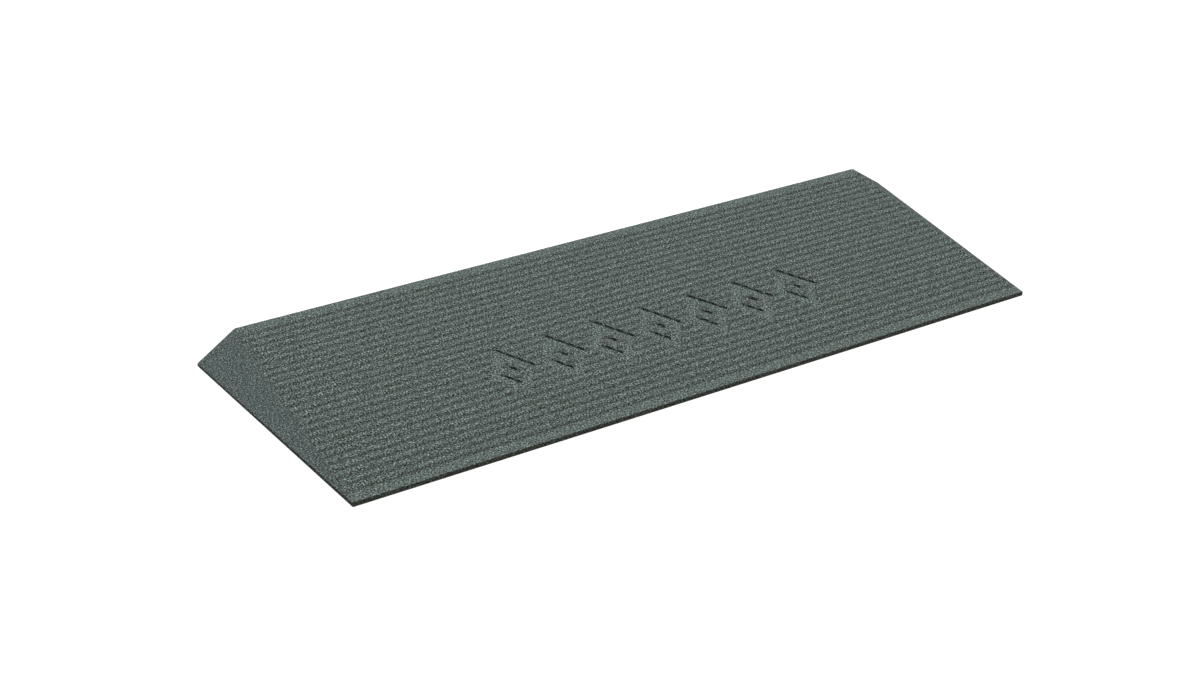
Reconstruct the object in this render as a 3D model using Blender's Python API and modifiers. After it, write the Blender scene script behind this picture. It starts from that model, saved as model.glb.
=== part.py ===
# Threshold ramp: a wide, low wedge of bonded rubber crumb that leads up to a door sill.
# It is built as a dense core, a coloured wear skin moulded over it, and strips of
# double-sided floor tape that lie in shallow pockets under the core.
# Metres, +Z up. The origin is on the floor under the middle of the ramp. +X runs along
# the front edge, and +Y points at the sill.

from math import atan, floor, pi, sqrt

import bmesh
import bpy
from mathutils import Matrix, Vector

# Outside of the ramp
deck_width = 0.9144        # between the two end creases
deck_depth = 0.3556        # front edge to sill
rise = 0.0375              # height at the sill
front_lip = 0.0060         # height of the blunt front edge
end_start = 0.0010         # how far each end bevel stands out at the front edge
end_flare = 0.0499         # how far it runs out at the sill
end_lip = 0.0037           # height of a bevel's blunt outer edge at the sill
edge_round = 0.0004        # radius on the moulded edges

# Grooves across the deck, between rounded ribs
groove_pitch = 0.0127
groove_width = 0.0068      # across the mouth
groove_depth = 0.0022
plain_strip = 0.0184       # front edge to the middle of the first groove

# Engraved row of lozenges
motif_count = 7
motif_pitch = 0.0673
motif_width = 0.0590
motif_height = 0.0980
motif_stroke = 0.0125      # width of the sunk band
heart_width = 0.0130       # small sunk lozenge in the middle of each
motif_depth = 0.0032
motif_middle = 0.1359      # front edge to the row's centre line

# Skin and core
skin_under_motif = 0.0017  # skin left below the engraving
front_wrap = 0.020         # solid skin behind the front edge, before the core starts
end_wrap = 0.008           # the same along each end
seam = 0.0003              # between pieces that touch

# Floor tape
tape_width = 0.030
tape_thickness = 0.0009
tape_margin = 0.015        # core edge to tape
tape_space = 0.008         # between two strips

# Cutting and rounding
cut_over = 0.003           # how far a cutter stands past what it cuts
groove_runout = 0.012      # how far a groove's cutter passes the crease
round_steps = 24           # sides of a groove's cutter
same_place = 0.000001      # points closer than this are one point

skin_thickness = motif_depth + skin_under_motif
front_y = -deck_depth / 2
sill_y = deck_depth / 2
slope = atan((rise - front_lip) / deck_depth)


# Scene and helpers

def clear_scene():
    for thing in list(bpy.data.objects):
        bpy.data.objects.remove(thing, do_unlink=True)


def new_collection(name):
    group = bpy.data.collections.new(name)
    bpy.context.scene.collection.children.link(group)
    return group


def new_material(name, colour, roughness):
    made = bpy.data.materials.new(name)
    made.use_nodes = True
    shader = made.node_tree.nodes["Principled BSDF"]
    shader.inputs["Base Color"].default_value = (*colour, 1.0)
    shader.inputs["Roughness"].default_value = roughness
    shader.inputs["Metallic"].default_value = 0.0
    return made


def new_object(name, body, group):
    mesh = bpy.data.meshes.new(name)
    bmesh.ops.recalc_face_normals(body, faces=body.faces)
    body.to_mesh(mesh)
    body.free()
    made = bpy.data.objects.new(name, mesh)
    group.objects.link(made)
    return made


def hide_cutter(cutter):
    cutter.hide_render = True
    cutter.display_type = "WIRE"


def cut(target, cutter):
    step = target.modifiers.new("cut " + cutter.name, "BOOLEAN")
    step.operation = "DIFFERENCE"
    step.solver = "EXACT"
    step.object = cutter


def box(low, high):
    body = bmesh.new()
    low, high = Vector(low), Vector(high)
    size = high - low
    place = Matrix.Translation((low + high) / 2) @ Matrix.Diagonal((*size, 1.0))
    bmesh.ops.create_cube(body, size=1.0, matrix=place)
    return body


# The ramp's outline, as planes that a block is cut back to

def deck_height(y):
    return front_lip + (y - front_y) / deck_depth * (rise - front_lip)


def on_deck(x, y, lift):
    up = Vector((0, -(rise - front_lip), deck_depth)).normalized()
    return Vector((x, y, deck_height(y))) + up * lift


def ramp_planes():
    # point and outward normal of the deck, the two end bevels and the two blunt ends
    crease_front = Vector((deck_width / 2, front_y, front_lip))
    crease_back = Vector((deck_width / 2, sill_y, rise))
    toe_front = Vector((deck_width / 2 + end_start, front_y, 0))
    toe_back = Vector((deck_width / 2 + end_flare, sill_y, end_lip))
    bevel = (toe_back - crease_front).cross(crease_back - crease_front).normalized()
    if bevel.z < 0:
        bevel.negate()
    end = Vector((deck_depth, end_start - end_flare, 0)).normalized()
    deck = Vector((0, -(rise - front_lip), deck_depth)).normalized()
    mirrored = Vector((-1, 1, 1))
    return {
        "deck": [(crease_front, deck)],
        "bevel": [(crease_front, bevel), (crease_front * mirrored, bevel * mirrored)],
        "end": [(toe_front, end), (toe_front * mirrored, end * mirrored)],
    }


def cut_back(body, point, normal):
    whole = body.verts[:] + body.edges[:] + body.faces[:]
    found = bmesh.ops.bisect_plane(body, geom=whole, dist=same_place, plane_co=point,
                                   plane_no=normal, clear_outer=True)
    rim = [item for item in found["geom_cut"] if isinstance(item, bmesh.types.BMEdge)]
    if rim:
        bmesh.ops.holes_fill(body, edges=rim, sides=0)


def wedge(inset, front_in, end_in, over):
    # a block cut back to the ramp's planes, each moved inwards
    reach = deck_width / 2 + end_flare
    body = box((-reach, front_y + front_in, -over), (reach, sill_y + over, rise + over))
    for kind, planes in ramp_planes().items():
        depth = end_in if kind == "end" else inset
        for point, normal in planes:
            cut_back(body, point - normal * depth, normal)
    bmesh.ops.remove_doubles(body, verts=body.verts, dist=same_place)
    return body


# Cutters

def groove_rows():
    room = deck_depth - 2 * plain_strip
    count = floor(room / groove_pitch + 0.01) + 1
    return [front_y + plain_strip + index * groove_pitch for index in range(count)]


def groove_cutter(group):
    # one round bar for each groove, sunk so that it cuts the wanted width and depth
    radius = (groove_width ** 2 / 4 + groove_depth ** 2) / (2 * groove_depth)
    length = deck_width + 2 * groove_runout
    body = bmesh.new()
    for y in groove_rows():
        centre = on_deck(0, y, radius - groove_depth)
        place = Matrix.Translation(centre) @ Matrix.Rotation(pi / 2, 4, "Y")
        bmesh.ops.create_cone(body, cap_ends=True, segments=round_steps, radius1=radius,
                              radius2=radius, depth=length, matrix=place)
    cutter = new_object("groove_cutter", body, group)
    hide_cutter(cutter)
    return cutter


def lozenge(curve, centre_x, half_width, half_height):
    outline = curve.splines.new("POLY")
    outline.points.add(3)
    corners = [(half_width, 0), (0, half_height), (-half_width, 0), (0, -half_height)]
    for point, (x, y) in zip(outline.points, corners):
        point.co = (centre_x + x, y, 0, 1)
    outline.use_cyclic_u = True


def motif_cutter(group):
    # flat outlines in the deck's own plane: a lozenge ring and a small lozenge inside it
    half_width, half_height = motif_width / 2, motif_height / 2
    edge_distance = half_width * half_height / sqrt(half_width ** 2 + half_height ** 2)
    inner = (edge_distance - motif_stroke) / edge_distance
    heart = heart_width / motif_width

    curve = bpy.data.curves.new("motif_outline", "CURVE")
    curve.dimensions = "2D"
    curve.fill_mode = "BOTH"
    curve.extrude = (motif_depth + cut_over) / 2
    for index in range(motif_count):
        x = (index - (motif_count - 1) / 2) * motif_pitch
        for share in (1.0, inner, heart):
            lozenge(curve, x, half_width * share, half_height * share)

    outline = bpy.data.objects.new("motif_outline", curve)
    outline.location = on_deck(0, front_y + motif_middle, (cut_over - motif_depth) / 2)
    outline.rotation_euler = (slope, 0, 0)
    group.objects.link(outline)
    cutter = mesh_of(outline, "motif_cutter", group)
    hide_cutter(cutter)
    return cutter


def mesh_of(curve_object, name, group):
    bpy.context.view_layer.update()
    seen = curve_object.evaluated_get(bpy.context.evaluated_depsgraph_get())
    mesh = bpy.data.meshes.new_from_object(seen)
    body = bmesh.new()
    body.from_mesh(mesh)
    bpy.data.meshes.remove(mesh)
    bmesh.ops.remove_doubles(body, verts=body.verts, dist=same_place)
    made = new_object(name, body, group)
    made.matrix_world = curve_object.matrix_world.copy()
    bpy.data.objects.remove(curve_object, do_unlink=True)
    return made


# Floor tape: three strips along the ramp and one at each end

def tape_strips():
    front = front_y + front_wrap + tape_margin
    back = sill_y - tape_margin
    middle = (front + back) / 2
    outer = deck_width / 2 - end_wrap - tape_margin
    inner = outer - tape_width - tape_space
    side_front = front + tape_width + tape_space
    side_back = back - tape_width - tape_space
    return {
        "floor_tape_front": ((-outer, front), (outer, front + tape_width)),
        "floor_tape_middle": ((-inner, middle - tape_width / 2),
                              (inner, middle + tape_width / 2)),
        "floor_tape_back": ((-outer, back - tape_width), (outer, back)),
        "floor_tape_left": ((-outer, side_front), (tape_width - outer, side_back)),
        "floor_tape_right": ((outer - tape_width, side_front), (outer, side_back)),
    }


def pocket_cutter(group):
    body = bmesh.new()
    for low, high in tape_strips().values():
        pocket = box((low[0] - seam, low[1] - seam, -cut_over),
                     (high[0] + seam, high[1] + seam, tape_thickness + seam))
        piece = bpy.data.meshes.new("pocket")
        pocket.to_mesh(piece)
        pocket.free()
        body.from_mesh(piece)
        bpy.data.meshes.remove(piece)
    cutter = new_object("pocket_cutter", body, group)
    hide_cutter(cutter)
    return cutter


# Pieces

def mark_moulded_edges(body):
    # every edge that isn't on the floor gets the small moulded radius
    weight = body.edges.layers.float.new("bevel_weight_edge")
    for edge in body.edges:
        on_floor = all(corner.co.z < same_place for corner in edge.verts)
        edge[weight] = 0.0 if on_floor else 1.0


def wear_skin(parts, cutters):
    body = wedge(0, 0, 0, 0)
    mark_moulded_edges(body)
    skin = new_object("wear_skin", body, parts)
    soften = skin.modifiers.new("moulded edges", "BEVEL")
    soften.limit_method = "WEIGHT"
    soften.width = edge_round
    soften.segments = 2

    hollow = new_object("core_cutter", wedge(skin_thickness, front_wrap, end_wrap, cut_over), cutters)
    hide_cutter(hollow)
    cut(skin, hollow)
    cut(skin, groove_cutter(cutters))
    cut(skin, motif_cutter(cutters))
    skin.data.materials.append(new_material("green_grey_crumb", (0.105, 0.125, 0.116), 0.9))


def core_wedge(parts, cutters):
    body = wedge(skin_thickness + seam, front_wrap + seam, end_wrap + seam, 0)
    core = new_object("core_wedge", body, parts)
    cut(core, pocket_cutter(cutters))
    core.data.materials.append(new_material("black_crumb", (0.020, 0.020, 0.021), 0.92))


def floor_tape(parts):
    grey = new_material("grey_foam_tape", (0.24, 0.24, 0.23), 0.6)
    for name, (low, high) in tape_strips().items():
        strip = new_object(name, box((*low, 0), (*high, tape_thickness)), parts)
        strip.data.materials.append(grey)


clear_scene()
ramp_parts = new_collection("threshold_ramp")
ramp_cutters = new_collection("cutters")
wear_skin(ramp_parts, ramp_cutters)
core_wedge(ramp_parts, ramp_cutters)
floor_tape(ramp_parts)
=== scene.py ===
# Threshold ramp in bonded rubber crumb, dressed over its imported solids.
from math import cos, pi, radians, sin, sqrt

import bmesh
import bpy
import numpy as np
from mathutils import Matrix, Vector


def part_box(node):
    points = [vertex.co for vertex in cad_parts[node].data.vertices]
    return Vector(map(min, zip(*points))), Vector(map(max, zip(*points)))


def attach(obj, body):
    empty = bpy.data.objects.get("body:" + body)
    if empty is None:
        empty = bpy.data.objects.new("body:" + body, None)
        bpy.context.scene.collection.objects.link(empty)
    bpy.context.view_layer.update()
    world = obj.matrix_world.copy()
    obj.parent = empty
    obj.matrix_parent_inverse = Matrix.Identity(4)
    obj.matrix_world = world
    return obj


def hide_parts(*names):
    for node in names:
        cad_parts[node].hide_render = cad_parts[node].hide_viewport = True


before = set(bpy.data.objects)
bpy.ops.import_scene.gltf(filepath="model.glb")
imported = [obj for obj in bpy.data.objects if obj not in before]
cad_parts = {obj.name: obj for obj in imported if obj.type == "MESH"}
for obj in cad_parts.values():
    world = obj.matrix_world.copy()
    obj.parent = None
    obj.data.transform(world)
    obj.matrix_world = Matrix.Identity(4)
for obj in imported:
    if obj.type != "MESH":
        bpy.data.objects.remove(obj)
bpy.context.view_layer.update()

mm = 0.001
skinLow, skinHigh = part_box("wear_skin")
coreLow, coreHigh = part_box("core_wedge")

ramp = {
    "deckWidth": 914.4 * mm,     # crease to crease
    "frontLip": 6.0 * mm,
    "endStart": 1.0 * mm,        # how far an end bevel stands out at the front edge
    "endLip": 3.7 * mm,          # outer edge of an end bevel at the sill
    "seam": 0.3 * mm,            # between skin and core
    "near": 0.1 * mm,            # how close to an edge still counts as on it
    "sharpFrom": 38,             # degrees between faces
}
frontY, sillY = skinLow.y, skinHigh.y
rise = skinHigh.z
deckDepth = sillY - frontY
halfDeck = ramp["deckWidth"] / 2
endFlare = skinHigh.x - halfDeck
flarePerDepth = (endFlare - ramp["endStart"]) / deckDepth
deckSlope = (rise - ramp["frontLip"]) / deckDepth
bevelSlope = (rise - ramp["endLip"]) / endFlare


def deckPlane(y):
    return ramp["frontLip"] + (y - frontY) * deckSlope


def endReach(y):
    return halfDeck + ramp["endStart"] + (y - frontY) * flarePerDepth


# Random heights, the same on each run

cells = 256                      # after this many hills or grains a pattern repeats


def softNoise(x, y, size, seed):
    # smooth values from -1 to 1, with hills about as wide as size
    table = np.random.default_rng(seed).uniform(-1, 1, (cells, cells))
    px, py = x / size, y / size
    ix, iy = np.floor(px).astype(int), np.floor(py).astype(int)
    fx, fy = px - ix, py - iy
    fx, fy = fx * fx * (3 - 2 * fx), fy * fy * (3 - 2 * fy)
    left, right, near, far = ix % cells, (ix + 1) % cells, iy % cells, (iy + 1) % cells
    low = table[left, near] * (1 - fx) + table[right, near] * fx
    high = table[left, far] * (1 - fx) + table[right, far] * fx
    return low * (1 - fy) + high * fy


def grainRelief(x, y, size, seed):
    # rounded grains of rubber, each at its own height: 0 in the gaps, 1 on the proudest grain
    random = np.random.default_rng(seed)
    spot = random.uniform(0.05, 0.95, (2, cells, cells))
    lift = random.uniform(0, 1, (cells, cells))
    lowest, spread, fall = 0.45, 0.55, 0.9     # a grain's top, and how it drops away from its middle
    px, py = x / size, y / size
    ix, iy = np.floor(px).astype(int), np.floor(py).astype(int)
    top = np.full(np.shape(px), -9.0)
    for stepX in (-1, 0, 1):
        for stepY in (-1, 0, 1):
            cellX, cellY = ix + stepX, iy + stepY
            at = cellX % cells, cellY % cells
            away = (px - cellX - spot[0][at]) ** 2 + (py - cellY - spot[1][at]) ** 2
            top = np.maximum(top, lowest + spread * lift[at] - fall * away)
    return np.clip(top, 0, 1)


def smoothMax(a, b, width):
    # the larger of two, with a round change from one to the other
    blend = np.clip(0.5 + (a - b) / (2 * width), 0, 1)
    return b + (a - b) * blend + width * blend * (1 - blend)


def edgeDrop(gap, size):
    # how much a round edge takes off, gap from the rim
    inside = np.clip(size - gap, 0, size)
    return size - np.sqrt(size ** 2 - inside ** 2)


# Meshes made from lines and loops of points

mapBands = {                     # rows of the bake map: worked face, walls, engraved walls, rest
    "face": (0.0, 0.86),
    "wall": (0.87, 0.93),
    "engraved": (0.935, 0.96),
    "room": (0.965, 0.98),
    "cap": (0.985, 1.0),
}


def inBand(places, band):
    low, high = mapBands[band]
    return np.stack([places[..., 0], low + places[..., 1] * (high - low)], -1)


def meshObject(name, points, quads, caps, maps):
    # maps holds the bake map's place of every corner, quads first
    mesh = bpy.data.meshes.new(name)
    mesh.from_pydata(np.asarray(points).tolist(), [], [*quads.tolist(), *(list(cap) for cap in caps)])
    layer = mesh.uv_layers.new(name="OFBake")
    layer.uv.foreach_set("vector", np.concatenate(maps).astype(np.float32).ravel())
    made = bpy.data.objects.new(name, mesh)
    bpy.context.scene.collection.objects.link(made)
    return made


def evenLines(low, high, step):
    return np.linspace(low, high, max(2, round((high - low) / step) + 1))


def rimInset(lines, near):
    # extra lines just inside both ends, so that the edge there can be round
    clear = near[-1] * 1.3
    inner = lines[(lines > lines[0] + clear) & (lines < lines[-1] - clear)]
    first = [lines[0], *(lines[0] + gap for gap in near)]
    last = [*(lines[-1] - gap for gap in reversed(near)), lines[-1]]
    return np.concatenate([first, inner, last])


def stepLines(lines, edges):
    # a close pair of lines at each edge, so that a step there stands upright
    apart, clear = 0.04 * mm, 0.5 * mm
    kept = [line for line in lines if min((abs(line - edge) for edge in edges), default=1) > clear]
    return np.sort(np.concatenate([kept, *((edge - apart, edge + apart) for edge in edges)]))


def fanned(rowYs, straight, halfFront, step):
    # columns that run straight in the middle and spread with the end bevels outside
    wider, rimShares = 1.25, (0.006, 0.014)
    reach = halfFront + flarePerDepth * (rowYs - rowYs[0])
    count = round((reach[-1] - straight[-1]) / (step * wider))
    shares = rimInset(np.linspace(0, 1, count + 1), rimShares)
    shares = shares[1 + len(rimShares):]     # the inner end needs no extra lines
    wide = straight[-1] + (reach[:, None] - straight[-1]) * shares[None, :]
    middle = np.repeat(straight[None, :], len(rowYs), 0)
    x = np.concatenate([-wide[:, ::-1], middle, wide], 1)
    return x, np.repeat(rowYs[:, None], x.shape[1], 1)


def tube(loops):
    # quads between closed loops of points, and each corner's place along and across them
    faces, places = [], []
    along = np.arange(len(loops[0]))
    for level, (a, b) in enumerate(zip(loops, loops[1:])):
        faces.append(np.stack([b, np.roll(b, -1), np.roll(a, -1), a], -1))
        here, there = np.full(len(a), level), np.full(len(a), level + 1)
        corners = ((along, there), (along + 1, there), (along + 1, here), (along, here))
        places.append(np.stack([np.stack(corner, -1) for corner in corners], 1))
    return np.concatenate(faces), np.concatenate(places) / (len(along), len(loops) - 1)


def workedBlock(name, x, y, z, capZ, steps, outward, relief, low=None, high=None):
    # x, y and z hold the worked face row by row. Its rim runs down, or up, through the
    # wall's steps to a flat cap. relief pushes the wall in, and outward is its direction.
    rows, columns = x.shape
    number = np.arange(rows * columns).reshape(rows, columns)
    quads = np.stack([number[:-1, :-1], number[:-1, 1:], number[1:, 1:], number[1:, :-1]], -1)
    quads = quads.reshape(-1, 4)
    rim = np.concatenate([number[0, :-1], number[:-1, -1], number[-1, :0:-1], number[:0:-1, 0]])
    points = [np.stack([x, y, z], -1).reshape(-1, 3)]
    low = points[0].min(0)[:2] if low is None else np.array(low[:2])
    high = points[0].max(0)[:2] if high is None else np.array(high[:2])
    rimPoints = points[0][rim]
    push = outward(rimPoints)
    along = np.concatenate([[0], np.cumsum(np.linalg.norm(np.diff(rimPoints[:, :2], axis=0), axis=1))])
    height = capZ - rimPoints[:, 2]
    loops = [rim]
    for index, step in enumerate([*steps, None]):
        place = rimPoints.copy()
        if step is None:
            place[:, 2] = capZ
        else:
            place[:, 2] += np.sign(height) * np.minimum(step, abs(height) * (index + 1) / (len(steps) + 1))
            place[:, :2] -= push * relief(along, place[:, 2])[:, None]
        loops.append(len(points[0]) + index * len(rim) + np.arange(len(rim)))
        points.append(place)
    walls, wallPlaces = tube(loops)
    cap = loops[-1][::-1]
    if capZ > z.mean():          # the worked face looks down
        quads, walls, wallPlaces, cap = quads[:, ::-1], walls[:, ::-1], wallPlaces[:, ::-1], cap[::-1]
    points = np.concatenate(points)
    faceMap = inBand((points[quads][:, :, :2] - low) / (high - low), "face")
    capMap = inBand((points[cap][:, :2] - low) / (high - low), "cap")
    maps = [faceMap.reshape(-1, 2), inBand(wallPlaces, "wall").reshape(-1, 2), capMap]
    return meshObject(name, points, np.concatenate([quads, walls]), [cap], maps)


def upright(points):
    # no direction, so the wall stays where it is
    return np.zeros((len(points), 2))


def marked(piece, sunk, shadeSpeckleTints=(1, 1, 1, 1)):
    # for the material to read: how much painted shade the first points hold, and each point's painted shade
    # tint with its speckle share.
    # Points that a cut adds read as no painted shade and a tint of all ones.
    share = np.zeros(len(piece.data.vertices), np.float32)
    share[:len(sunk)] = sunk
    piece.data.attributes.new("sunkShare", "FLOAT", "POINT").data.foreach_set("value", share)
    shadeSpeckleTints = np.broadcast_to(np.float32(shadeSpeckleTints), (len(share), 4))
    piece.data.attributes.new("faceTint", "FLOAT_COLOR", "POINT").data.foreach_set("color", shadeSpeckleTints.ravel())
    return piece


def combined(piece, tool, operation):
    # the piece keeps its name, and the tool is used up
    step = piece.modifiers.new(tool.name, "BOOLEAN")
    step.operation, step.solver, step.object = operation, "MANIFOLD", tool
    bpy.context.view_layer.update()
    cut = bpy.data.meshes.new_from_object(piece.evaluated_get(bpy.context.evaluated_depsgraph_get()))
    if len(cut.polygons) == len(piece.data.polygons):
        raise RuntimeError(f"{tool.name} left {piece.name} as it was")
    piece.modifiers.clear()
    piece.data = cut
    bpy.data.objects.remove(tool)


def coreHull(name, sides, below, behind):
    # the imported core's outline without its tape pockets, grown by the given amounts
    places = {tuple(round(v, 6) for v in corner.co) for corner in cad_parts["core_wedge"].data.vertices}
    body = bmesh.new()
    for place in sorted(places):
        body.verts.new(place)
    bmesh.ops.convex_hull(body, input=body.verts)
    bmesh.ops.delete(body, geom=[corner for corner in body.verts if not corner.link_faces], context="VERTS")
    for corner in body.verts:
        corner.co.x += sides if corner.co.x > 0 else -sides
        corner.co.y += behind if corner.co.y > coreHigh.y - ramp["near"] else -sides
        corner.co.z += sides if corner.co.z > ramp["near"] else -below
    bmesh.ops.recalc_face_normals(body, faces=body.faces)
    layer = body.loops.layers.uv.new("OFBake")
    size = coreHigh - coreLow
    for face in body.faces:
        flat = max(range(3), key=lambda axis: abs(face.normal[axis]))
        across, up = [axis for axis in range(3) if axis != flat]
        for corner in face.loops:
            place = [(corner.vert.co[axis] - coreLow[axis]) / size[axis] for axis in (across, up)]
            place[1] = (flat + min(max(place[1], 0), 1) * 0.9) / 3       # a strip for each direction
            corner[layer].uv = inBand(np.array(place), "room")
    mesh = bpy.data.meshes.new(name)
    body.to_mesh(mesh)
    body.free()
    made = bpy.data.objects.new(name, mesh)
    bpy.context.scene.collection.objects.link(made)
    return made


def finished(piece, material, node):
    piece.data.shade_smooth()
    piece.data.set_sharp_from_angle(angle=radians(ramp["sharpFrom"]))
    piece.data.materials.clear()
    piece.data.materials.append(material)
    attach(piece, "root")
    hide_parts(node)
    print(piece.name, len(piece.data.polygons), "faces")


# Shader maths

class Shade:
    # one socket of a material's tree, with Python's operators as Math nodes

    def __init__(self, tree, socket=None):
        self.tree, self.socket = tree, socket

    def node(self, kind, settings=None, output=0, **inputs):
        made = self.tree.nodes.new(kind)
        for name, value in (settings or {}).items():
            if name == "stops":
                self.fillStops(made.color_ramp, value)
            else:
                setattr(made, name, value)
        for name, value in inputs.items():
            slot = made.inputs[int(name[1:])] if name[1:].isdigit() else made.inputs[name.replace("_", " ")]
            if isinstance(value, Shade):
                self.tree.links.new(value.socket, slot)
            else:
                slot.default_value = value
        return Shade(self.tree, made.outputs[output])

    def fillStops(self, band, stops):
        while len(band.elements) < len(stops):
            band.elements.new(0.5)
        for element, (place, colour) in zip(band.elements, stops):
            element.position = place
            element.color = (*colour, 1)

    def output(self, name):
        return Shade(self.tree, self.socket.node.outputs[name])

    def feeds(self, slot):
        self.tree.links.new(self.socket, slot)

    def math(self, operation, first, second=0.0, clamp=False):
        return self.node("ShaderNodeMath", {"operation": operation, "use_clamp": clamp}, i0=first, i1=second)

    def __add__(self, other):
        return self.math("ADD", self, other)

    def __sub__(self, other):
        return self.math("SUBTRACT", self, other)

    def __mul__(self, other):
        return self.math("MULTIPLY", self, other)

    __radd__, __rmul__ = __add__, __mul__

    def __rsub__(self, other):
        return self.math("SUBTRACT", other, self)

    def ramped(self, low, high):
        # 0 below low, 1 above high, smooth between
        return self.node("ShaderNodeMapRange", {"interpolation_type": "SMOOTHSTEP"}, Value=self,
                         From_Min=low, From_Max=high)


def mixed(share, first, second):
    made = share.tree.nodes.new("ShaderNodeMix")
    made.data_type = "RGBA"
    share.feeds(made.inputs["Factor"])
    for slot, value in ((made.inputs[6], first), (made.inputs[7], second)):
        if isinstance(value, Shade):
            value.feeds(slot)
        else:
            slot.default_value = (*value, 1)
    return Shade(share.tree, made.outputs[2])


def newMaterial(name):
    made = bpy.data.materials.new(name)
    made.use_nodes = True
    return made, Shade(made.node_tree), made.node_tree.nodes["Principled BSDF"].inputs


def placeInMm(shade):
    place = shade.node("ShaderNodeTexCoord", output="Object")
    return shade.node("ShaderNodeVectorMath", {"operation": "SCALE"}, i0=place, Scale=1000.0)


# Bonded rubber crumb

allCrumb = {
    "slant": 0.5,                # how far the mottle moves sideways with height
    "gapEdges": (0.48, 0.80),    # from a granule's middle, in granules
    "gapRoughness": 0.15,
    "shineFrom": (0.86, 0.94),   # only a few granules have a cut, smoother face
    "shine": 0.22,
    "specular": 0.02,
    "heights": (0.7, 0.3, 0.35),     # granules, fine granules, how proud each granule stands
    "bumpDistance": 0.35 * mm,
}
skinCrumb = {
    "grain": 1.0,                # mm across
    "fine": 0.5,
    "mottle": 1.9,               # mm between darker and paler places
    "mottleShare": 0.98,
    "toneShares": (0.36, 0.20),  # granules, fine granules
    "stops": [
        (0.00, (0.012, 0.012, 0.011)),
        (0.28, (0.031, 0.033, 0.029)),
        (0.37, (0.103, 0.124, 0.113)),
        (0.60, (0.161, 0.203, 0.190)),
        (0.72, (0.262, 0.325, 0.309)),
        (1.00, (0.640, 0.765, 0.738)),
    ],
    "gap": (0.036, 0.037, 0.032),
    "gapShare": 0.5,
    # painted shade colour for the grooves and engraved recesses, where shade falls
    "paintedShade": (0.050, 0.041, 0.029),
    "sunk": 0.45,                # how much painted shade the grooves and engraved recesses hold
    "even": (0.140, 0.175, 0.163),   # takes the speckle's place where there is less of it
    "roughness": 0.95,
    "bump": 0.8,
}
shadeAndSpeckle = {                    # colour, with painted shade darkening the bevels and lips and warming the front lip, and how much speckle the press leaves there
    "strip": (1.00, 1.00, 1.00, 0.83),
    "bevel": (0.93, 0.94, 0.965, 0.80),
    "front": (1.03, 0.92, 0.82, 0.80),
    "end": (0.80, 0.79, 0.76, 0.80),
}
shadeEdges = {"crease": 0.5 * mm, "corner": 0.3 * mm}     # how far from an edge the painted shade changes
coreCrumb = {
    "grain": 1.9,
    "fine": 0.8,
    "mottle": 4.0,
    "mottleShare": 0.1,
    "toneShares": (0.66, 0.34),
    "stops": [
        (0.00, (0.006, 0.006, 0.006)),
        (0.35, (0.013, 0.013, 0.013)),
        (0.75, (0.024, 0.024, 0.025)),
        (0.96, (0.042, 0.042, 0.043)),
        (1.00, (0.110, 0.112, 0.112)),
    ],
    "gap": (0.004, 0.004, 0.004),
    "gapShare": 0.55,
    "sunk": 0.0,
    "roughness": 0.82,
    "bump": 0.6,
}


def crumbMaterial(name, look):
    made, shade, surface = newMaterial(name)
    place = placeInMm(shade)
    grain = shade.node("ShaderNodeTexVoronoi", output="Color", Vector=place, Scale=1 / look["grain"])
    away = grain.output("Distance")
    fine = shade.node("ShaderNodeTexVoronoi", output="Color", Vector=place, Scale=1 / look["fine"])
    tone = shade.node("ShaderNodeSeparateColor", Color=grain)
    other = tone.output("Green")
    fineTone = shade.node("ShaderNodeSeparateColor", Color=fine)
    split = shade.node("ShaderNodeSeparateXYZ", Vector=place)
    up = split.output("Z")
    flat = shade.node("ShaderNodeCombineXYZ", X=split + up * allCrumb["slant"], Y=split.output("Y") + up)
    mottle = shade.node("ShaderNodeTexNoise", {"noise_dimensions": "2D"}, Vector=flat,
                        Scale=1 / look["mottle"], Detail=0.0)
    share, fineShare = look["toneShares"]
    level = tone * share + fineTone * fineShare + mottle * look["mottleShare"]
    level = level + (1 - share - fineShare - look["mottleShare"]) / 2     # 0.5 on average
    colour = shade.node("ShaderNodeValToRGB", {"stops": look["stops"]}, Fac=level)
    gaps = away.ramped(*allCrumb["gapEdges"]) * look["gapShare"]
    colour = mixed(gaps, colour, look["gap"])
    # painted shade: grooves and engraved recesses darkened, bevels and lips tinted darker where less light
    # falls
    if look["sunk"]:
        sunk = shade.node("ShaderNodeAttribute", {"attribute_name": "sunkShare"}, output="Fac")
        colour = mixed(sunk * look["sunk"], colour, look["paintedShade"])
        # painted shade tint for bevels and lips, its alpha the share of speckle kept
        shadeSpeckle = shade.node("ShaderNodeAttribute", {"attribute_name": "faceTint"}, output="Color")
        colour = mixed(shadeSpeckle.output("Alpha"), look["even"], colour)
        colour = shade.node("ShaderNodeVectorMath", {"operation": "MULTIPLY"}, i0=colour, i1=shadeSpeckle)
    colour.feeds(surface["Base Color"])
    shine = other.ramped(*allCrumb["shineFrom"]) * allCrumb["shine"]
    (look["roughness"] - shine + gaps * allCrumb["gapRoughness"]).feeds(surface["Roughness"])
    surface["Specular IOR Level"].default_value = allCrumb["specular"]
    granule, grit, proud = allCrumb["heights"]
    height = (1 - away) * granule + (1 - fine.output("Distance")) * grit + other * proud
    bump = shade.node("ShaderNodeBump", Strength=look["bump"], Height=height,
                      Distance=allCrumb["bumpDistance"])
    bump.feeds(surface["Normal"])
    return made


skinMaterial = crumbMaterial("greenGreyCrumb", skinCrumb)
coreMaterial = crumbMaterial("blackCrumb", coreCrumb)
print("crumb materials ready")


# Wear skin: ribbed deck, end bevels and blunt lips

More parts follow.
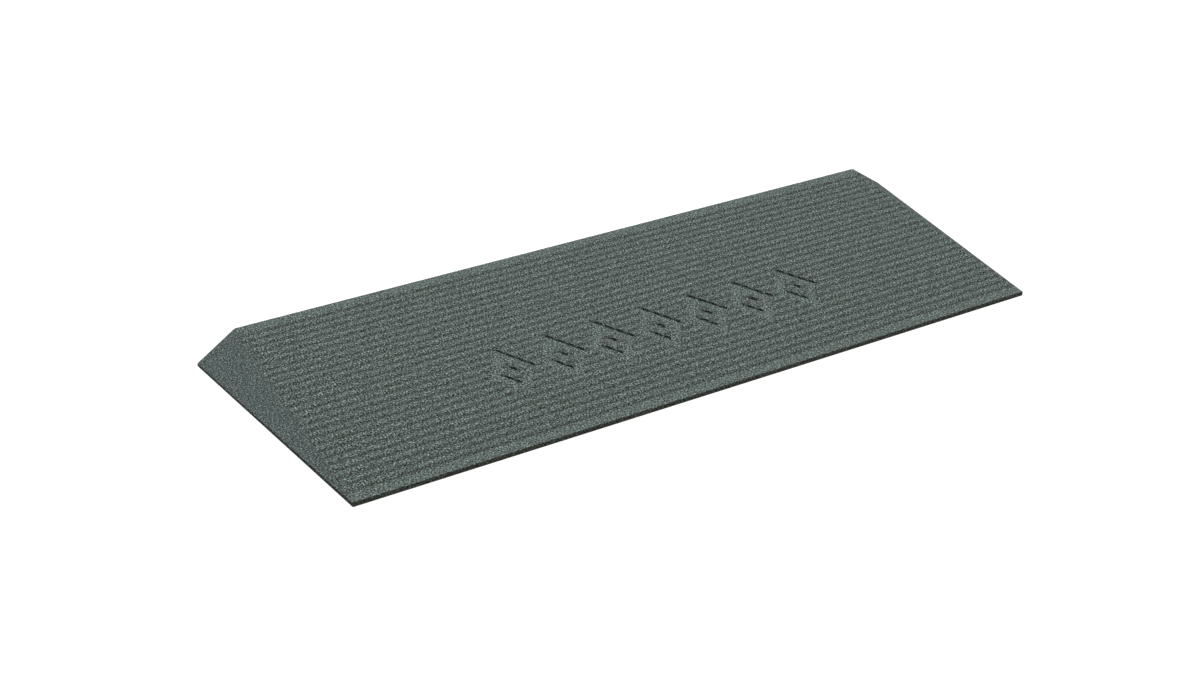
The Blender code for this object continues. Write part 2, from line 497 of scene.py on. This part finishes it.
skin = {
    "step": 1.27 * mm,           # between points, a tenth of the groove pitch
    "groovePitch": 12.7 * mm,
    "grooveHalf": 3.7 * mm,      # half the mouth, where the rib starts to round over
    "grooveDepth": 2.2 * mm,
    "bank": 1.25,                # above 1 the groove's floor is wider and its sides steeper
    "plainStrip": 18.4 * mm,     # front edge to the first groove's middle
    "stripInset": 1.0 * mm,      # where the strip's closer crumb ends, before the groove
    "wobble": 0.42 * mm,         # how far a groove's edge wanders
    "wander": ((9 * mm, 0.5), (3.2 * mm, 0.5)),     # a groove's middle: length of the waves, share
    "waver": ((5 * mm, 0.6), (2.4 * mm, 0.4)),      # and its width
    "wanderShare": 0.6,          # of the wobble, for a groove's middle
    "grooveShift": 0.31,         # m along the waves from one groove to the next
    "crumb": 0.22 * mm,          # height of single granules
    "lump": 2.4 * mm,
    "lumpDepth": 0.12 * mm,
    "creaseRound": 1.1 * mm,
    "runOutRound": 0.25 * mm,    # where a groove meets the bevel
    "shadeEnd": 4.2 * mm,         # where a groove's painted shade ends on the bevel, past the crease
    "shadeFade": 2.0 * mm,
    "edgeRound": 0.12 * mm,
    "rimFade": 0.8 * mm,         # the granules are lower towards the rim
    "rimLines": (0.25 * mm, 0.7 * mm),
    "straight": 0.41,            # m, columns fan out with the ends beyond this
    "shake": 0.26,               # steps, how far the points stand out of line
    "stillRows": 3,              # rim rows that aren't shaken
    "lipRows": 6,
    "lipStep": 0.8 * mm,
    "wallGrain": 1.7 * mm,       # on the lips, and on the core's back
    "wallDepth": 0.12 * mm,
    "roomReach": 4 * mm,         # how far the core's room is cut on through the underside and back
}


def grooveSink(x, y):
    # 0 on the ribs, 1 at a groove's deepest
    rowCount = round((deckDepth - 2 * skin["plainStrip"]) / skin["groovePitch"])
    row = np.clip(np.round((y - frontY - skin["plainStrip"]) / skin["groovePitch"]), 0, rowCount)
    middle = frontY + skin["plainStrip"] + row * skin["groovePitch"]
    (long, longShare), (short, shortShare) = skin["wander"]
    wander = softNoise(x + row * skin["grooveShift"], row, long, 21) * longShare
    wander += softNoise(x, y, short, 22) * shortShare
    (long, longShare), (short, shortShare) = skin["waver"]
    waver = softNoise(x, y, long, 23) * longShare + softNoise(x, y, short, 24) * shortShare
    half = skin["grooveHalf"] + waver * skin["wobble"]
    away = abs(y - middle + wander * skin["wobble"] * skin["wanderShare"]) / half
    return 0.5 + 0.5 * np.cos(pi * np.clip(away, 0, 1) ** skin["bank"])


def skinHeight(x, y, rimGap):
    # height, and how much painted shade lies there
    past = abs(x) - halfDeck
    bevelDrop = smoothMax(past, 0 * past, skin["creaseRound"]) * bevelSlope
    cut = grooveSink(x, y) * skin["grooveDepth"]
    drop = smoothMax(bevelDrop, cut, skin["runOutRound"]) - skin["runOutRound"] / 4     # 0 on the ribs
    crumb = np.random.default_rng(52).uniform(0, 1, x.shape) * skin["crumb"]
    crumb *= 0.5 + 0.5 * np.clip(rimGap / skin["rimFade"], 0, 1)
    lump = (1 - grainRelief(x, y, skin["lump"], 31)) * skin["lumpDepth"]
    # painted shade, deepest at a groove's middle and fading out on the bevel
    sunk = cut / skin["grooveDepth"] * np.clip((skin["shadeEnd"] - past) / skin["shadeFade"], 0, 1)
    return deckPlane(y) - drop - crumb - lump - edgeDrop(rimGap, skin["edgeRound"]), sunk


def endOutward(points):
    # away from the ramp at each rim point, level with the floor
    lean = Vector((1, -flarePerDepth)).normalized()
    push = np.zeros((len(points), 2))
    onEnd = abs(points[:, 0]) > endReach(points[:, 1]) - ramp["near"]
    push[onEnd] = np.stack([np.sign(points[onEnd, 0]) * lean.x, np.full(onEnd.sum(), lean.y)], -1)
    push[points[:, 1] < frontY + ramp["near"]] += (0, -1)
    push[points[:, 1] > sillY - ramp["near"]] += (0, 1)
    return push / np.linalg.norm(push, axis=1)[:, None]


def crumbWall(along, z):
    return (1 - grainRelief(along, z, skin["wallGrain"], 41)) * skin["wallDepth"]


def ribbedBlock():
    rows = rimInset(evenLines(frontY, sillY, skin["step"]), skin["rimLines"])
    columns = evenLines(-skin["straight"], skin["straight"], skin["step"])
    x, y = fanned(rows, columns, endReach(frontY), skin["step"])
    shake = np.random.default_rng(51).uniform(-skin["shake"], skin["shake"], (2, *x.shape)) * skin["step"]
    still = skin["stillRows"]
    shake[:, :still], shake[:, -still:], shake[:, :, :still], shake[:, :, -still:] = 0, 0, 0, 0
    x, y = x + shake[0], y + shake[1]
    rimGap = np.minimum(np.minimum(y - frontY, sillY - y), endReach(y) - abs(x))
    z, sunk = skinHeight(x, y, np.maximum(rimGap, 0))
    steps = [skin["lipStep"] * (row + 1) for row in range(skin["lipRows"])]
    piece = workedBlock("ribbedSkin", x, y, z, 0, steps, endOutward, crumbWall, skinLow, skinHigh)
    place = np.empty(len(piece.data.vertices) * 3)
    piece.data.vertices.foreach_get("co", place)
    across, depth, _ = place.reshape(-1, 3).T
    onWall = np.arange(len(across)) >= x.size
    stripWidth = skin["plainStrip"] - skin["grooveHalf"] - skin["stripInset"]
    onStrip = np.minimum(depth - frontY, sillY - depth) < stripWidth
    # painted shade: bevels and end lips darker, the front lip darker and warmer, where less light falls
    shadeSpeckleTints = np.ones((len(across), 4), np.float32)
    shadeSpeckleTints[onStrip] = shadeAndSpeckle["strip"]
    shadeSpeckleTints[abs(across) > halfDeck + shadeEdges["crease"]] = shadeAndSpeckle["bevel"]
    shadeSpeckleTints[onWall & (depth < sillY - shadeEdges["corner"])] = shadeAndSpeckle["end"]
    shadeSpeckleTints[onWall & (depth < frontY + shadeEdges["corner"])] = shadeAndSpeckle["front"]
    return marked(piece, sunk.ravel(), shadeSpeckleTints)


# Engraved row: lozenge rings, each round a small lozenge

engraving = {
    "count": 7,
    "pitch": 67.3 * mm,
    "halfWidth": 29.5 * mm,
    "halfHeight": 49.0 * mm,
    "stroke": 12.5 * mm,
    "heartHalf": 6.5 * mm,
    "depth": 3.2 * mm,
    "middle": 135.9 * mm,        # from the front edge
    "step": 1.3 * mm,            # between points along its edges
    "ragged": 0.16 * mm,         # how far single granules stand out of line
    "levels": ((-4.5, 1.0), (-2.2, 1.0), (-1.0, 0.8), (3.0, 0.0)),    # mm above the deck, and painted shade there
    "crumb": 0.20 * mm,
    "margin": 3 * mm,            # how far the tool goes past the row
    "toolTop": 60 * mm,
    "ringMap": 0.8,              # the ring's share of each lozenge's bake map
}


def lozengeLoop(centreX, halfWidth, halfHeight, levelZ, random):
    # one closed line round a lozenge in the deck's plane, raised or lowered by levelZ
    corners = np.array([(halfWidth, 0), (0, halfHeight), (-halfWidth, 0), (0, -halfHeight), (halfWidth, 0)])
    perSide = max(4, round(sqrt(halfWidth ** 2 + halfHeight ** 2) / engraving["step"]))
    shares = np.arange(perSide)[:, None] / perSide
    line = np.concatenate([a + (b - a) * shares for a, b in zip(corners, corners[1:])])
    line += random.uniform(-1, 1, line.shape) * engraving["ragged"]
    x, y = centreX + line[:, 0], frontY + engraving["middle"] + line[:, 1]
    return np.stack([x, y, deckPlane(y) + levelZ], -1)


def lozengePrisms():
    random = np.random.default_rng(61)
    wide, high = engraving["halfWidth"], engraving["halfHeight"]
    toSide = wide * high / sqrt(wide ** 2 + high ** 2)
    innerShare = 1 - engraving["stroke"] / toSide
    heartShare = engraving["heartHalf"] / wide
    points, sunk, quads, caps, maps, capMaps = [], [], [], [], [], []

    def loopsOf(centreX, share, count=None):
        # a loop at each level, with count points if that is given
        made = []
        for level, paintedShade in engraving["levels"]:
            loop = lozengeLoop(centreX, wide * share, high * share, level * mm, random)
            if count:
                closed = np.concatenate([loop, loop[:1]])
                at = np.linspace(0, len(loop), count, endpoint=False)
                loop = np.stack([np.interp(at, np.arange(len(closed)), line) for line in closed.T], -1)
            start = sum(len(group) for group in points)
            points.append(loop)
            sunk.append(np.full(len(loop), paintedShade))
            made.append(start + np.arange(len(loop)))
        return made

    ringMap = engraving["ringMap"]
    for index in range(engraving["count"]):
        centreX = (index - (engraving["count"] - 1) / 2) * engraving["pitch"]
        outer = loopsOf(centreX, 1.0)
        inner = loopsOf(centreX, innerShare, len(outer[0]))
        heart = loopsOf(centreX, heartShare)
        ring = [*outer, *inner[::-1], outer[0]]
        for mapStart, mapWidth, loops in ((0, ringMap, ring), (ringMap, 1 - ringMap, heart)):
            faces, places = (corners[:, ::-1] for corners in tube(loops))
            places[..., 0] = (index + mapStart + places[..., 0] * mapWidth) / engraving["count"]
            quads.append(faces)
            maps.append(inBand(places, "engraved").reshape(-1, 2))
        for cap in (heart[0][::-1], heart[-1]):      # the cuts leave nothing of these
            caps.append(cap)
            capMaps.append(np.tile([(0.5, 0.99)], (len(cap), 1)))
    allPoints, allQuads = np.concatenate(points), np.concatenate(quads)
    made = meshObject("lozengePrisms", allPoints, allQuads, caps, [*maps, *capMaps])
    return marked(made, np.concatenate(sunk))


def engravingTool():
    # prisms whose lower ends are cut to a floor of granules
    reach = (engraving["count"] // 2) * engraving["pitch"] + engraving["halfWidth"] + engraving["margin"]
    middle, half = frontY + engraving["middle"], engraving["halfHeight"] + engraving["margin"]
    columns = evenLines(-reach, reach, skin["step"])
    rows = evenLines(middle - half, middle + half, skin["step"])
    x, y = np.meshgrid(columns, rows)
    crumb = np.random.default_rng(62).uniform(0, 1, x.shape) * engraving["crumb"]
    lump = grainRelief(x, y, skin["lump"], 63) * skin["lumpDepth"]
    z = deckPlane(y) - engraving["depth"] - crumb - lump
    tool = workedBlock("engravingTool", x, y, z, engraving["toolTop"], (), upright, None, skinLow, skinHigh)
    combined(marked(tool, ()), lozengePrisms(), "INTERSECT")
    return tool


skinPiece = ribbedBlock()
combined(skinPiece, engravingTool(), "DIFFERENCE")
combined(skinPiece, coreHull("coreRoom", ramp["seam"], skin["roomReach"], skin["roomReach"]), "DIFFERENCE")
finished(skinPiece, skinMaterial, "wear_skin")


# Core: black crumb, its underside pocketed for the tape

core = {
    "step": 2.4 * mm,
    "lump": 3.1 * mm,
    "lumpDepth": 0.30 * mm,
    "crumb": 0.16 * mm,
    "backRows": 22,
    "backStep": 1.65 * mm,
    "straight": 436.5 * mm,      # columns fan out with the ends beyond this
    "pocketDepth": 1.2 * mm,
    "overlap": 1.0 * mm,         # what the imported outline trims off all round
    "top": 3 * mm,               # above the sill, trimmed off too
    "trimReach": 2 * mm,         # how far the trimming outline goes past the underside and back
}
tapeNodes = [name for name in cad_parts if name.startswith("floor_tape_")]
pockets = [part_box(name) for name in sorted(tapeNodes)]


def coreOutward(points):
    # only the back face shows, so only its points have a direction
    push = upright(points)
    push[points[:, 1] > sillY - ramp["near"]] = (0, 1)
    return push


def coreBlock():
    seam = ramp["seam"]
    acrossEdges = sorted({round(edge, 5) for low, high in pockets for edge in (low.x - seam, high.x + seam)})
    depthEdges = sorted({round(edge, 5) for low, high in pockets for edge in (low.y - seam, high.y + seam)})
    frontRow = coreLow.y - core["overlap"]
    rows = stepLines(evenLines(frontRow, sillY, core["step"]), depthEdges)
    straight = stepLines(evenLines(-core["straight"], core["straight"], core["step"]), acrossEdges)
    halfFront = coreHigh.x - flarePerDepth * (sillY - frontRow) + core["overlap"]
    x, y = fanned(rows, straight, halfFront, core["step"])
    inPocket = np.zeros(x.shape)
    for low, high in pockets:
        inPocket[(x > low.x - seam) & (x < high.x + seam) & (y > low.y - seam) & (y < high.y + seam)] = 1
    lump = (1 - grainRelief(x, y, core["lump"], 71)) * core["lumpDepth"]
    crumb = np.random.default_rng(72).uniform(0, 1, x.shape) * core["crumb"]
    z = lump + crumb + inPocket * core["pocketDepth"]
    steps = [core["backStep"] * (row + 1) for row in range(core["backRows"])]
    piece = workedBlock("crumbCore", x, y, z, rise + core["top"], steps, coreOutward, crumbWall)
    combined(piece, coreHull("coreTrim", 0, core["trimReach"], core["trimReach"]), "INTERSECT")
    return piece


finished(coreBlock(), coreMaterial, "core_wedge")


# Floor tape: double-sided foam strips with a scrim in their adhesive

tape = {
    "step": 1.6 * mm,
    "edgeRound": 0.18 * mm,
    "waver": 0.05 * mm,          # waves in the adhesive face
    "pucker": 9 * mm,
    "ripple": (3 * mm, 0.4),     # smaller waves: length, share of the height
    "longFrom": 100 * mm,        # a side longer than this has wider steps
    "longStep": 2.5,             # times the step
    "rimLines": (0.08 * mm, 0.2 * mm),
    "wallSteps": (0.2 * mm, 0.4 * mm, 0.6 * mm),
    "wallWave": (0.8 * mm, 0.06 * mm),              # length, height
    "foam": (0.235, 0.236, 0.228),
    "foamDark": (0.150, 0.150, 0.146),
    "pore": 0.32,                # mm across
    "poreShare": 0.5,
    "cloudScale": 0.09,          # per mm
    "cloudShare": 0.5,
    "wornEdges": (0.35, 0.75),   # from foam to dark foam
    "thread": (0.330, 0.332, 0.325),
    "threadPitch": 3.2,          # mm between the scrim's threads
    "threadEdges": (0.03, 0.09),
    "threadShare": 0.65,
    "dust": (0.060, 0.060, 0.058),
    "speckPitch": 9.0,           # mm, about how far apart granules are stuck to it
    "speckEdges": (0.09, 0.15),
    "speckShare": 0.6,
    "smearScale": 0.045,         # per mm
    "smearEdges": (0.47, 0.74),
    "smearShare": 0.35,
    "roughness": (0.58, 0.2, 0.14),                 # all over, more in clouds, less on threads
    "heights": (0.8, 0.35, 0.4),                    # threads, pores, clouds
    "specular": 0.4,
    "bump": 0.5,
    "bumpDistance": 0.15 * mm,
    "seed": 82,                  # of the first strip, and each strip uses two
}


def foamMaterial():
    made, shade, surface = newMaterial("greyFoamTape")
    place = placeInMm(shade)
    pores = shade.node("ShaderNodeTexVoronoi", output="Distance", Vector=place, Scale=1 / tape["pore"])
    cloud = shade.node("ShaderNodeTexNoise", Vector=place, Scale=tape["cloudScale"], Detail=4.0)
    split = shade.node("ShaderNodeSeparateXYZ", Vector=place)
    along, across = split.output("X"), split.output("Y")
    threads = None
    for line in (along + across, along - across):
        phase = shade.math("PINGPONG", line * (1 / tape["threadPitch"]), 0.5)
        strand = 1 - phase.ramped(*tape["threadEdges"])
        threads = strand if threads is None else shade.math("MAXIMUM", threads, strand)
    hollows = pores.ramped(*tape["wornEdges"])
    worn = hollows * tape["poreShare"] + cloud.ramped(*tape["wornEdges"]) * tape["cloudShare"]
    body = mixed(worn, tape["foam"], tape["foamDark"])
    body = mixed(threads * tape["threadShare"], body, tape["thread"])
    speck = shade.node("ShaderNodeTexVoronoi", output="Distance", Vector=place, Scale=1 / tape["speckPitch"])
    smear = shade.node("ShaderNodeTexNoise", Vector=place, Scale=tape["smearScale"],
                       Detail=6.0, Roughness=0.72)
    dusty = (1 - speck.ramped(*tape["speckEdges"])) * tape["speckShare"]
    dusty = dusty + smear.ramped(*tape["smearEdges"]) * tape["smearShare"]
    mixed(dusty, body, tape["dust"]).feeds(surface["Base Color"])
    rough, rougher, smoother = tape["roughness"]
    (rough + cloud * rougher - threads * smoother).feeds(surface["Roughness"])
    surface["Specular IOR Level"].default_value = tape["specular"]
    threadHeight, poreDepth, cloudHeight = tape["heights"]
    height = threads * threadHeight - hollows * poreDepth + cloud * cloudHeight
    bump = shade.node("ShaderNodeBump", Strength=tape["bump"], Distance=tape["bumpDistance"], Height=height)
    bump.feeds(surface["Normal"])
    return made


def boxOutward(points):
    # away from the strip at each rim point
    low, high = points.min(0), points.max(0)
    near = tape["rimLines"][0] / 4
    push = np.zeros((len(points), 2))
    for axis in (0, 1):
        push[points[:, axis] < low[axis] + near, axis] -= 1
        push[points[:, axis] > high[axis] - near, axis] += 1
    return push


def foamWall(along, z):
    length, height = tape["wallWave"]
    return (1 + softNoise(along, z, length, 81)) * height


def foamStrip(node, seed):
    low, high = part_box(node)
    lines = []
    for start, end in ((low.x, high.x), (low.y, high.y)):
        stretch = tape["longStep"] if end - start > tape["longFrom"] else 1
        lines.append(rimInset(evenLines(start, end, tape["step"] * stretch), tape["rimLines"]))
    x, y = np.meshgrid(*lines)
    rimGap = np.minimum(np.minimum(x - low.x, high.x - x), np.minimum(y - low.y, high.y - y))
    wave = (1 + softNoise(x, y, tape["pucker"], seed)) * tape["waver"]
    length, share = tape["ripple"]
    fine = (1 + softNoise(x, y, length, seed + 1)) * tape["waver"] * share
    z = low.z + wave + fine + edgeDrop(rimGap, tape["edgeRound"])
    name = "tape" + node.rsplit("_", 1)[1].capitalize()
    return workedBlock(name, x, y, z, high.z, tape["wallSteps"], boxOutward, foamWall)


foam = foamMaterial()
for number, tapeNode in enumerate(sorted(tapeNodes)):
    finished(foamStrip(tapeNode, tape["seed"] + 2 * number), foam, tapeNode)


# Floor, light and camera

stage = {
    "floorSize": 60.0,
    "floorDrop": 0.02 * mm,
    "seenGrey": (0.30, 0.30, 0.30, 1),   # the floor as the camera sees it, with its own light
    "seenLight": 0.88,
    "bounce": (0.27, 0.27, 0.27, 1),     # what the floor gives back to the ramp
    "lampPlace": (0.05, 0.8, 5.6),
    "lampSize": 4.0,
    "lampPower": 283.0,
    "sky": 0.20,
}
view = {                         # the photo's camera
    "azimuth": radians(-30),
    "elevation": radians(30.054),
    "distance": 2.0295,
    "target": (-0.06111, -0.00174, 0),
    "sensor": 36,
    "lens": 50,
    "clip": (0.05, 100),
}


def whiteShare(shade):
    # 1 for what the camera sees, directly or in a reflection
    path = shade.node("ShaderNodeLightPath", output="Is Camera Ray")
    mirrored = path.output("Is Glossy Ray") + path.output("Is Transmission Ray")
    return shade.math("ADD", path, mirrored, clamp=True)


def makeFloor():
    bpy.ops.mesh.primitive_plane_add(size=stage["floorSize"], location=(0, 0, -stage["floorDrop"]))
    floor = bpy.context.object
    floor.name = "studioFloor"
    made, shade, _ = newMaterial("paleFloor")
    made.node_tree.nodes.remove(made.node_tree.nodes["Principled BSDF"])
    seen = shade.node("ShaderNodeBsdfDiffuse", Color=stage["seenGrey"])
    glow = shade.node("ShaderNodeEmission", Color=(1, 1, 1, 1), Strength=stage["seenLight"])
    lit = shade.node("ShaderNodeAddShader", i0=seen, i1=glow)
    back = shade.node("ShaderNodeBsdfDiffuse", Color=stage["bounce"])
    both = shade.node("ShaderNodeMixShader", Fac=whiteShare(shade), i1=back, i2=lit)
    both.feeds(made.node_tree.nodes["Material Output"].inputs["Surface"])
    floor.data.materials.append(made)


def makeLight():
    data = bpy.data.lights.new("softbox", "AREA")
    data.shape, data.size, data.energy = "SQUARE", stage["lampSize"], stage["lampPower"]
    lamp = bpy.data.objects.new("softbox", data)
    lamp.location = stage["lampPlace"]
    lamp.rotation_euler = Vector(stage["lampPlace"]).to_track_quat("Z", "Y").to_euler()
    bpy.context.scene.collection.objects.link(lamp)

    world = bpy.data.worlds.new("studioSky")
    bpy.context.scene.world = world
    world.use_nodes = True
    shade = Shade(world.node_tree)
    seen = whiteShare(shade)
    sky = world.node_tree.nodes["Background"]
    sky.inputs["Color"].default_value = (1, 1, 1, 1)
    (stage["sky"] + seen * (1 - stage["sky"])).feeds(sky.inputs["Strength"])


def makeCamera():
    data = bpy.data.cameras.new("photoCamera")
    data.sensor_width, data.lens = view["sensor"], view["lens"]
    data.clip_start, data.clip_end = view["clip"]
    camera = bpy.data.objects.new("photoCamera", data)
    azimuth, elevation = view["azimuth"], view["elevation"]
    back = Vector((sin(azimuth) * cos(elevation), -cos(azimuth) * cos(elevation), sin(elevation)))
    camera.location = Vector(view["target"]) + back * view["distance"]
    camera.rotation_euler = (-back).to_track_quat("-Z", "Y").to_euler()
    bpy.context.scene.collection.objects.link(camera)
    bpy.context.scene.camera = camera


makeFloor()
makeLight()
makeCamera()
bpy.context.scene.view_settings.view_transform = "Standard"
print("floor, light and camera placed")
